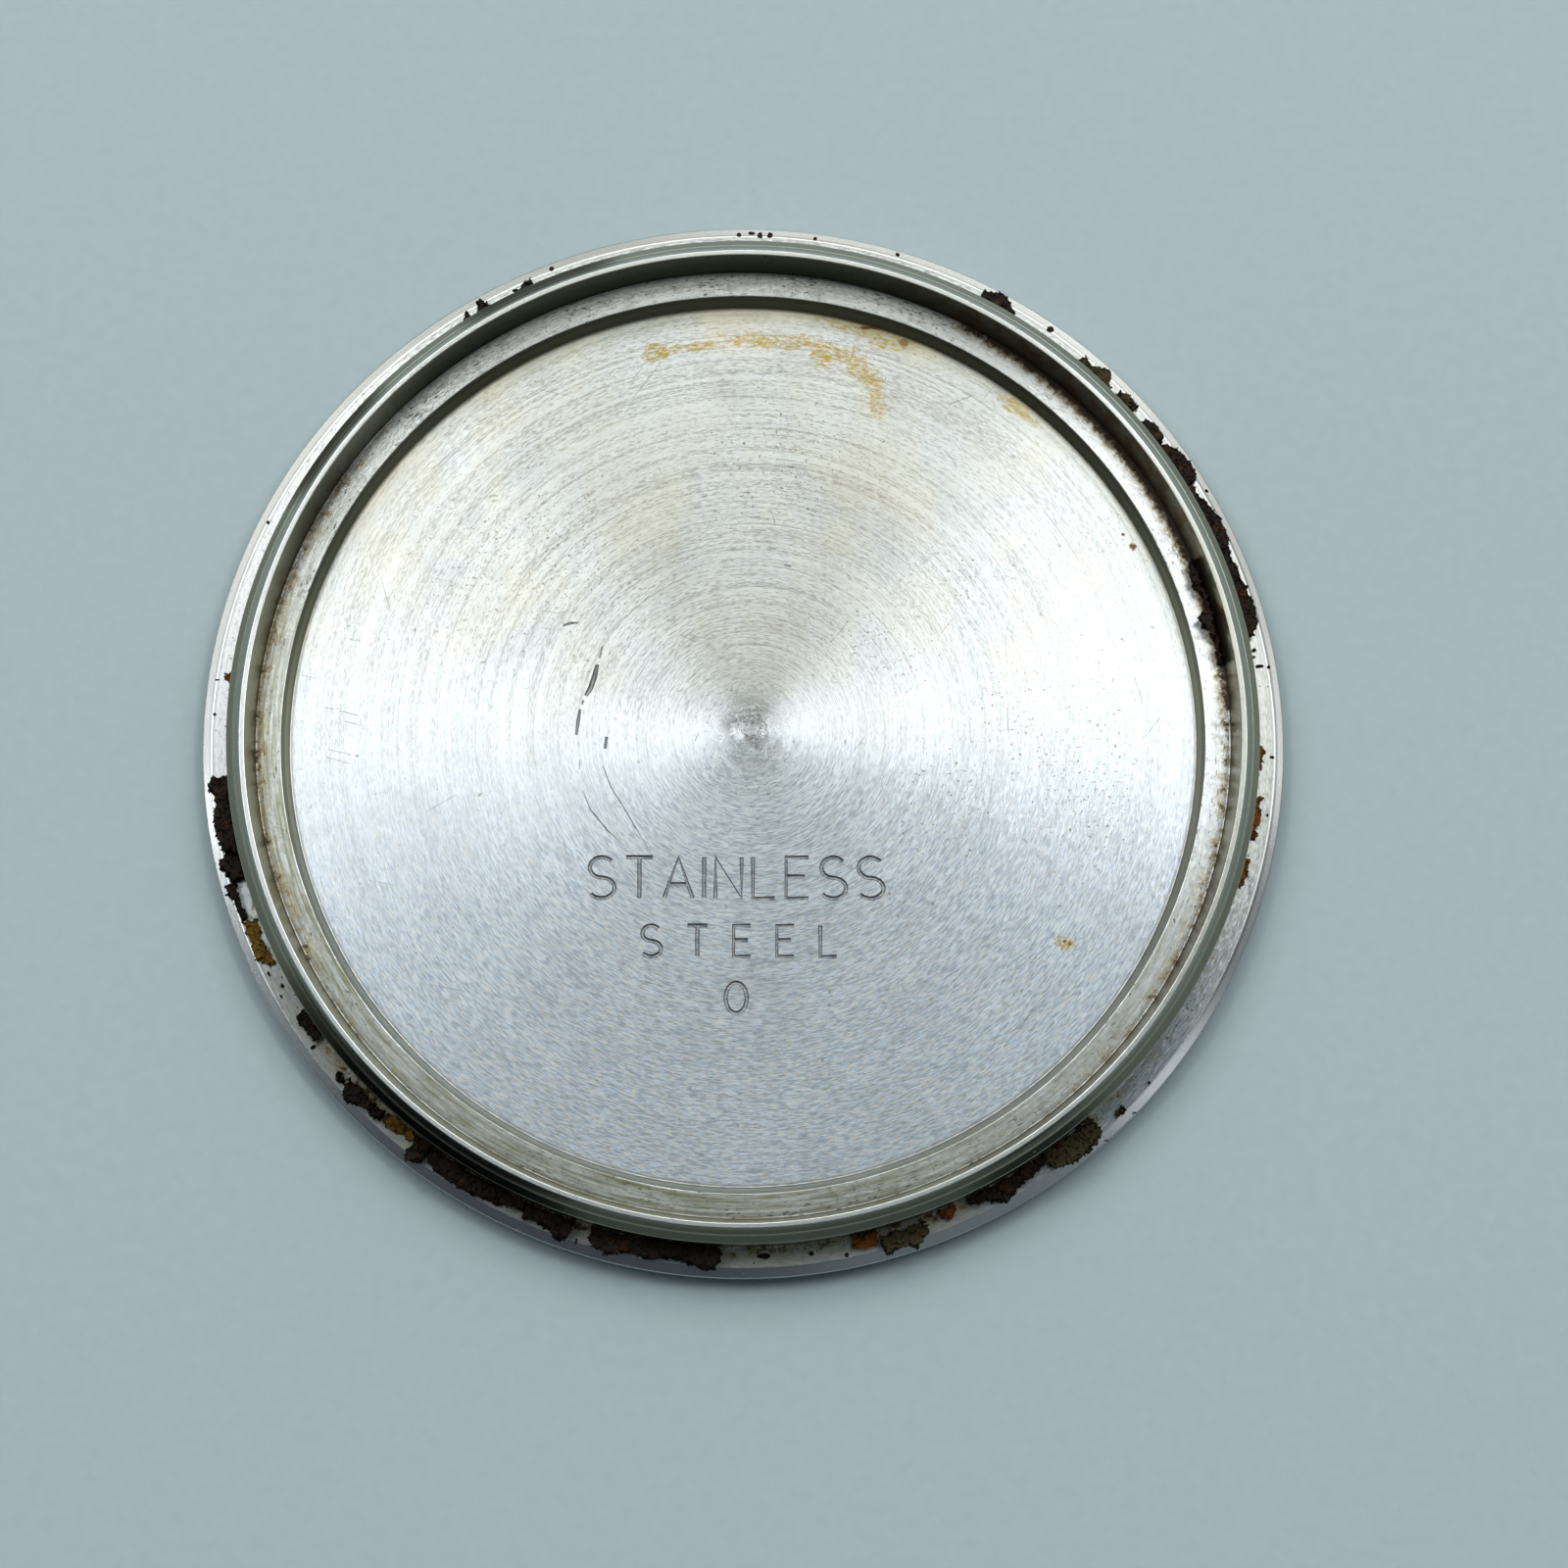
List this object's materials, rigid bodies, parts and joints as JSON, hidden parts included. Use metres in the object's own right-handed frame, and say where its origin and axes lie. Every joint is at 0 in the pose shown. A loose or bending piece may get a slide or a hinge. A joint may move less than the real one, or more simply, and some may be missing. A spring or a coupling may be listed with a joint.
{
  "type": "watch case back",
  "caption": "Round press-fit watch case back, inner side up: thin turned disc with a stepped ledge, snap rim and narrow flange carrying torn gasket remains.",
  "frame": {"origin": "centre of the flat outer face, on which the case back rests with its inner side up", "axes": "+Z along the turning axis, from the outer face towards the inside of the watch; +X and +Y in the outer face, with the engraved rows on the floor read from -Y"},
  "size_m": [0.0324, 0.0324, 0.0022],
  "materials": {
    "stainless_steel": "fine turned, edge polished over, engraved floor, worn and lightly stained",
    "gasket_black": "perished, crumbly, dull",
    "gasket_olive": "perished and dried, olive brown, dull",
    "gasket_rust_brown": "thin film stained by rust, dull"
  },
  "bodies": {
    "root": {"case_back": "stainless_steel", "ledge_gasket_lump": "gasket_black", "gasket_remnant_01": "gasket_black", "gasket_remnant_02": "gasket_black", "gasket_remnant_03": "gasket_black", "gasket_remnant_04": "gasket_olive", "gasket_remnant_05": "gasket_olive", "gasket_remnant_06": "gasket_black", "gasket_remnant_07": "gasket_black", "gasket_remnant_08": "gasket_black", "gasket_remnant_09": "gasket_black", "gasket_remnant_10": "gasket_rust_brown", "gasket_remnant_11": "gasket_black", "gasket_remnant_12": "gasket_black", "gasket_remnant_13": "gasket_black", "gasket_remnant_14": "gasket_rust_brown", "gasket_remnant_15": "gasket_black", "gasket_remnant_16": "gasket_black", "gasket_remnant_17": "gasket_black", "gasket_remnant_18": "gasket_rust_brown", "gasket_remnant_19": "gasket_black", "gasket_remnant_20": "gasket_black", "gasket_remnant_21": "gasket_black", "gasket_remnant_22": "gasket_black", "gasket_remnant_23": "gasket_rust_brown", "gasket_remnant_24": "gasket_olive", "gasket_remnant_25": "gasket_rust_brown", "gasket_remnant_26": "gasket_black", "gasket_remnant_27": "gasket_olive", "gasket_remnant_28": "gasket_olive", "gasket_remnant_29": "gasket_rust_brown", "gasket_remnant_30": "gasket_rust_brown", "gasket_remnant_31": "gasket_rust_brown"}
  },
  "joints": []
}
